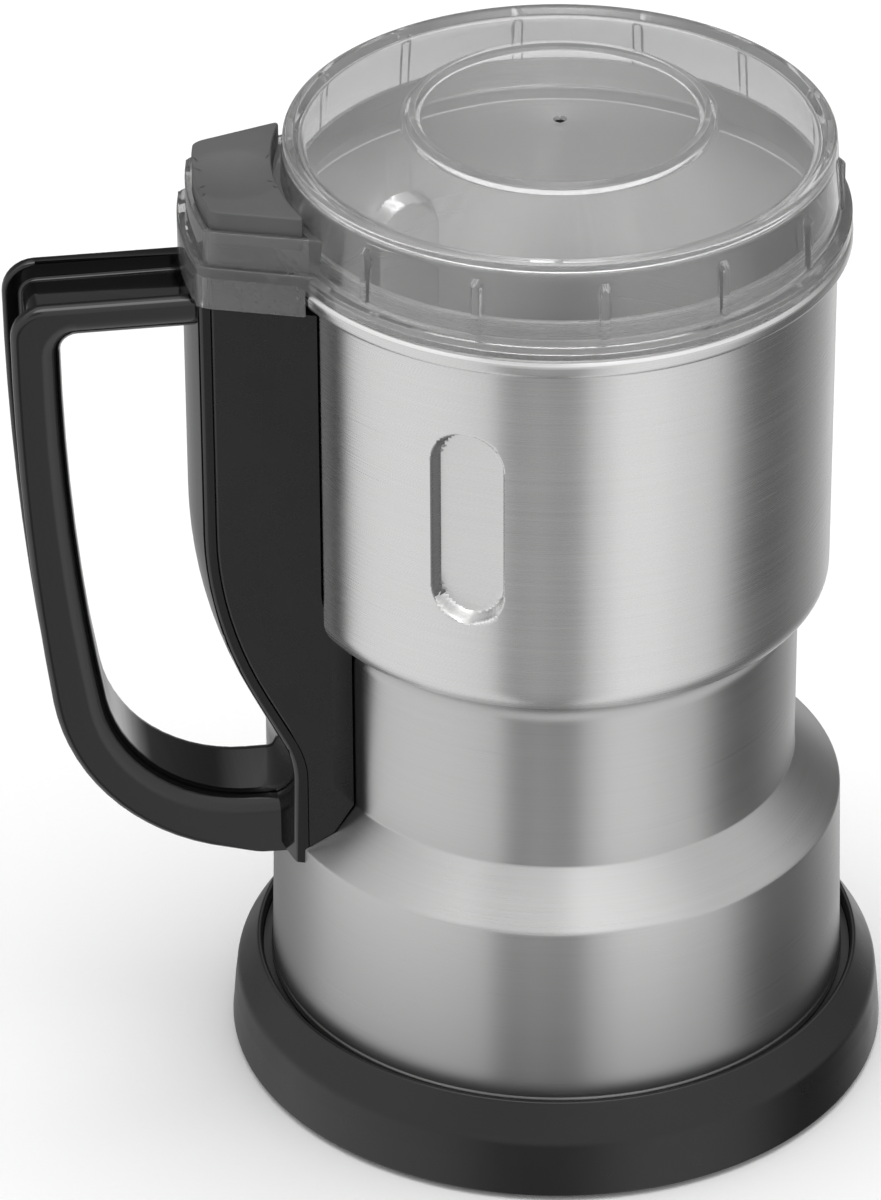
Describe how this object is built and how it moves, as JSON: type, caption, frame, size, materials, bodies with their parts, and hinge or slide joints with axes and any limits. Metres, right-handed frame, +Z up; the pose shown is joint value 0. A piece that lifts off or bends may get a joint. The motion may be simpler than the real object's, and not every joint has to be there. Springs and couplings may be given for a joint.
{
  "type": "electric spice grinder",
  "caption": "Electric spice grinder with a steel bowl on a stepped motor base, a side handle, and a clear lid whose press button starts the blades.",
  "frame": {"origin": "on the axis of the bowl and motor, in the plane that the rubber foot stands on", "axes": "+Z up along the axis of the bowl, -X towards the handle, -Y towards the side that the picture shows"},
  "size_m": [0.1606, 0.123, 0.1933],
  "materials": {
    "base_plastic": "satin",
    "rubber": "matte",
    "steel_sheet": "brushed round the axis",
    "bowl_steel": "brushed round the axis",
    "blade_steel": "ground",
    "screw_steel": "zinc plated",
    "spring_steel": "drawn wire",
    "bracket_metal": "die cast",
    "inner_plastic": "matte",
    "laminations": "stacked sheet",
    "copper": "varnished copper wire",
    "brass": "bare",
    "carbon": "matte",
    "column_plastic": "satin",
    "grip_plastic": "gloss",
    "clear_plastic": "clear, polished",
    "button_plastic": "satin",
    "plunger_plastic": "matte",
    "capacitor_case": "matte"
  },
  "bodies": {
    "grinder": {"base_ring": "base_plastic", "bottom_cover": "base_plastic", "rubber_foot": "rubber", "bottom_screws": "screw_steel", "cord_gland": "rubber", "motor_housing": "steel_sheet", "tie_screws": "screw_steel", "bowl_carrier": "inner_plastic", "bowl_gasket": "rubber", "grinding_bowl": "bowl_steel", "bowl_screws": "screw_steel", "shaft_seal": "rubber", "upper_bracket": "bracket_metal", "lower_bracket": "inner_plastic", "bracket_bolts": "screw_steel", "isolators": "rubber", "isolator_screws": "screw_steel", "upper_bearing": "screw_steel", "lower_bearing": "screw_steel", "stator_core": "laminations", "field_coils": "copper", "brush_holders": "brass", "carbon_brushes": "carbon", "brush_springs": "spring_steel", "handle_column": "column_plastic", "handle_grip": "grip_plastic", "handle_screws": "screw_steel", "rod_spring": "spring_steel", "rod_guide": "inner_plastic", "micro_switch": "inner_plastic", "switch_screws": "screw_steel", "suppression_capacitor": "capacitor_case", "terminal_block": "inner_plastic"},
    "rotor": {"motor_shaft": "blade_steel", "armature_core": "laminations", "armature_windings": "copper", "commutator": "copper", "cooling_fan": "inner_plastic", "blade_spacer": "blade_steel", "lower_blade": "blade_steel", "upper_blade": "blade_steel", "blade_washer": "blade_steel", "blade_nut": "blade_steel"},
    "lid": {"lid": "clear_plastic"},
    "button": {"press_button": "button_plastic", "button_clip": "spring_steel", "button_spring": "spring_steel"},
    "rod": {"push_rod": "inner_plastic"},
    "plunger": {"switch_plunger": "plunger_plastic"}
  },
  "joints": [
    {"name": "rotor_spin", "type": "hinge", "parent": "grinder", "child": "rotor", "pos_m": [0, 0, 0.1], "axis": [0, 0, 1], "continuous": true},
    {"name": "lid_lift", "type": "slide", "parent": "grinder", "child": "lid", "axis": [0, 0, 1], "range_m": [0, 0.06]},
    {"name": "button_press", "type": "slide", "parent": "lid", "child": "button", "axis": [0, 0, -1], "range_m": [0, 0.0035], "stiffness_N_per_m": 600, "springref_m": -0.002, "deforming": ["button_spring"]},
    {"name": "rod_press", "type": "slide", "parent": "grinder", "child": "rod", "axis": [0, 0, -1], "range_m": [0, 0.0035], "stiffness_N_per_m": 300, "springref_m": -0.003, "deforming": ["rod_spring"]},
    {"name": "plunger_press", "type": "slide", "parent": "grinder", "child": "plunger", "axis": [0, 0, -1], "range_m": [0, 0.001]}
  ],
  "couplings": [
    {"joint": "rod_press", "follows": "button_press", "ratio": 1},
    {"joint": "plunger_press", "follows": "button_press", "ratio": 0.28571}
  ]
}
